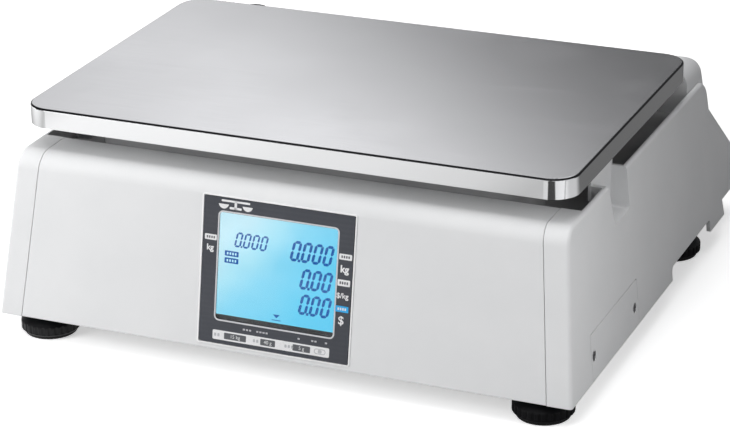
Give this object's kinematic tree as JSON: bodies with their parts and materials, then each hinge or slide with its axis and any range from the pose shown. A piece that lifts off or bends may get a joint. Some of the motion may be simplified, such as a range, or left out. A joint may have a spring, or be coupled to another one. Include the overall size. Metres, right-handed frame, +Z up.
{
  "type": "retail price scale",
  "caption": "Counter-top price scale: stainless weighing platter on a leaning grey housing, customer display in front, sloped operator keypad behind, levelling feet.",
  "frame": {"origin": "centre of the footprint, on the counter under the rubber soles", "axes": "+X to the right seen from the customer's side, +Y from the customer towards the operator, +Z up"},
  "size_m": [0.402, 0.3904, 0.1565],
  "materials": {
    "housing_plastic": "light grey moulded ABS with a fine even grain",
    "deck_plastic": "mid grey moulded ABS under the pan",
    "tray_plastic": "dark grey moulded base",
    "stainless": "satin stainless top with a polished skirt",
    "cast_aluminium": "die-cast or machined aluminium",
    "bezel_print": "dark slate printed overlay",
    "clear_window": "clear acrylic window",
    "lcd_glass": "backlit blue LCD",
    "backlight": "white light guide",
    "overlay_film": "embossed polyester film",
    "key_plastic": "moulded key caps",
    "rubber": "black rubber",
    "foot_plastic": "black nylon knob on a steel stud",
    "board": "green circuit board with components",
    "black_plastic": "black moulded plastic",
    "steel": "zinc-plated steel",
    "brass": "brass threaded inserts",
    "battery": "sealed rechargeable pack",
    "cable": "grey flat cable",
    "level_liquid": "yellow-green level vial"
  },
  "bodies": {
    "base": {"base_tray": "tray_plastic", "left_side_panel": "housing_plastic", "right_side_panel": "housing_plastic", "front_panel": "housing_plastic", "top_deck": "deck_plastic", "console_shell": "housing_plastic", "console_overlay": "overlay_film", "operator_lens": "clear_window", "operator_lcd": "lcd_glass", "operator_backlight": "backlight", "keypad_board": "board", "key_mat": "rubber", "customer_bezel": "bezel_print", "customer_lens": "clear_window", "customer_lcd": "lcd_glass", "customer_backlight": "backlight", "customer_board": "board", "side_cover": "housing_plastic", "side_cover_screws": "steel", "main_board": "board", "power_board": "board", "battery_pack": "battery", "load_cell": "cast_aluminium", "load_cell_base_block": "cast_aluminium", "load_cell_screws": "steel", "overload_stops": "steel", "power_inlet": "black_plastic", "switch_frame": "black_plastic", "data_ports": "black_plastic", "level_cup": "black_plastic", "level_vial": "level_liquid", "foot_inserts": "brass", "housing_screws": "steel", "ribbon_cables": "cable"},
    "weigh_platform": {"weigh_platform": "cast_aluminium", "load_cell_top_block": "cast_aluminium", "pan_pads": "rubber"},
    "platter": {"platter": "stainless"},
    "power_rocker": {"power_rocker": "black_plastic"},
    "battery_door": {"battery_door": "tray_plastic"},
    "foot_sole_left_front": {"foot_sole_left_front": "rubber"},
    "foot_knob_left_front": {"foot_knob_left_front": "foot_plastic"},
    "foot_sole_right_front": {"foot_sole_right_front": "rubber"},
    "foot_knob_right_front": {"foot_knob_right_front": "foot_plastic"},
    "foot_sole_left_rear": {"foot_sole_left_rear": "rubber"},
    "foot_knob_left_rear": {"foot_knob_left_rear": "foot_plastic"},
    "foot_sole_right_rear": {"foot_sole_right_rear": "rubber"},
    "foot_knob_right_rear": {"foot_knob_right_rear": "foot_plastic"},
    "key_7": {"key_7": "key_plastic"},
    "key_8": {"key_8": "key_plastic"},
    "key_9": {"key_9": "key_plastic"},
    "key_4": {"key_4": "key_plastic"},
    "key_5": {"key_5": "key_plastic"},
    "key_6": {"key_6": "key_plastic"},
    "key_1": {"key_1": "key_plastic"},
    "key_2": {"key_2": "key_plastic"},
    "key_3": {"key_3": "key_plastic"},
    "key_0": {"key_0": "key_plastic"},
    "key_00": {"key_00": "key_plastic"},
    "key_clear": {"key_clear": "key_plastic"}
  },
  "joints": [
    {"name": "weighing_travel", "type": "slide", "parent": "base", "child": "weigh_platform", "axis": [0, 0, 1], "range_m": [-0.0006, 0], "stiffness_N_per_m": 40000, "springref_m": 0.0009, "deforming": ["load_cell"]},
    {"name": "platter_lift", "type": "slide", "parent": "weigh_platform", "child": "platter", "axis": [0, 0, 1], "range_m": [0, 0.1]},
    {"name": "power_switch", "type": "hinge", "parent": "base", "child": "power_rocker", "pos_m": [-0.19345, 0.066, 0.06249], "axis": [0.095, 0, 0.9955], "range_deg": [-13, 0]},
    {"name": "battery_door_slide", "type": "slide", "parent": "base", "child": "battery_door", "axis": [0, 1, 0], "range_m": [0, 0.044]},
    {"name": "foot_height_left_front", "type": "slide", "parent": "base", "child": "foot_sole_left_front", "axis": [0, 0, 1], "range_m": [-0.00625, 0.00125]},
    {"name": "foot_turn_left_front", "type": "hinge", "parent": "foot_sole_left_front", "child": "foot_knob_left_front", "pos_m": [-0.175, -0.173, 0.008], "axis": [0, 0, 1], "range_deg": [-1800, 360]},
    {"name": "foot_height_right_front", "type": "slide", "parent": "base", "child": "foot_sole_right_front", "axis": [0, 0, 1], "range_m": [-0.00625, 0.00125]},
    {"name": "foot_turn_right_front", "type": "hinge", "parent": "foot_sole_right_front", "child": "foot_knob_right_front", "pos_m": [0.175, -0.173, 0.008], "axis": [0, 0, 1], "range_deg": [-1800, 360]},
    {"name": "foot_height_left_rear", "type": "slide", "parent": "base", "child": "foot_sole_left_rear", "axis": [0, 0, 1], "range_m": [-0.00625, 0.00125]},
    {"name": "foot_turn_left_rear", "type": "hinge", "parent": "foot_sole_left_rear", "child": "foot_knob_left_rear", "pos_m": [-0.175, 0.102, 0.008], "axis": [0, 0, 1], "range_deg": [-1800, 360]},
    {"name": "foot_height_right_rear", "type": "slide", "parent": "base", "child": "foot_sole_right_rear", "axis": [0, 0, 1], "range_m": [-0.00625, 0.00125]},
    {"name": "foot_turn_right_rear", "type": "hinge", "parent": "foot_sole_right_rear", "child": "foot_knob_right_rear", "pos_m": [0.175, 0.102, 0.008], "axis": [0, 0, 1], "range_deg": [-1800, 360]},
    {"name": "key_7_press", "type": "slide", "parent": "base", "child": "key_7", "axis": [0, -0.658, -0.753], "range_m": [0, 0.0015], "stiffness_N_per_m": 400, "springref_m": -0.0008},
    {"name": "key_8_press", "type": "slide", "parent": "base", "child": "key_8", "axis": [0, -0.658, -0.753], "range_m": [0, 0.0015], "stiffness_N_per_m": 400, "springref_m": -0.0008},
    {"name": "key_9_press", "type": "slide", "parent": "base", "child": "key_9", "axis": [0, -0.658, -0.753], "range_m": [0, 0.0015], "stiffness_N_per_m": 400, "springref_m": -0.0008},
    {"name": "key_4_press", "type": "slide", "parent": "base", "child": "key_4", "axis": [0, -0.658, -0.753], "range_m": [0, 0.0015], "stiffness_N_per_m": 400, "springref_m": -0.0008},
    {"name": "key_5_press", "type": "slide", "parent": "base", "child": "key_5", "axis": [0, -0.658, -0.753], "range_m": [0, 0.0015], "stiffness_N_per_m": 400, "springref_m": -0.0008},
    {"name": "key_6_press", "type": "slide", "parent": "base", "child": "key_6", "axis": [0, -0.658, -0.753], "range_m": [0, 0.0015], "stiffness_N_per_m": 400, "springref_m": -0.0008},
    {"name": "key_1_press", "type": "slide", "parent": "base", "child": "key_1", "axis": [0, -0.658, -0.753], "range_m": [0, 0.0015], "stiffness_N_per_m": 400, "springref_m": -0.0008},
    {"name": "key_2_press", "type": "slide", "parent": "base", "child": "key_2", "axis": [0, -0.658, -0.753], "range_m": [0, 0.0015], "stiffness_N_per_m": 400, "springref_m": -0.0008},
    {"name": "key_3_press", "type": "slide", "parent": "base", "child": "key_3", "axis": [0, -0.658, -0.753], "range_m": [0, 0.0015], "stiffness_N_per_m": 400, "springref_m": -0.0008},
    {"name": "key_0_press", "type": "slide", "parent": "base", "child": "key_0", "axis": [0, -0.658, -0.753], "range_m": [0, 0.0015], "stiffness_N_per_m": 400, "springref_m": -0.0008},
    {"name": "key_00_press", "type": "slide", "parent": "base", "child": "key_00", "axis": [0, -0.658, -0.753], "range_m": [0, 0.0015], "stiffness_N_per_m": 400, "springref_m": -0.0008},
    {"name": "key_clear_press", "type": "slide", "parent": "base", "child": "key_clear", "axis": [0, -0.658, -0.753], "range_m": [0, 0.0015], "stiffness_N_per_m": 400, "springref_m": -0.0008}
  ],
  "couplings": [
    {"joint": "foot_height_left_front", "follows": "foot_turn_left_front", "m_per_rad": 0.00019894},
    {"joint": "foot_height_right_front", "follows": "foot_turn_right_front", "m_per_rad": 0.00019894},
    {"joint": "foot_height_left_rear", "follows": "foot_turn_left_rear", "m_per_rad": 0.00019894},
    {"joint": "foot_height_right_rear", "follows": "foot_turn_right_rear", "m_per_rad": 0.00019894}
  ]
}
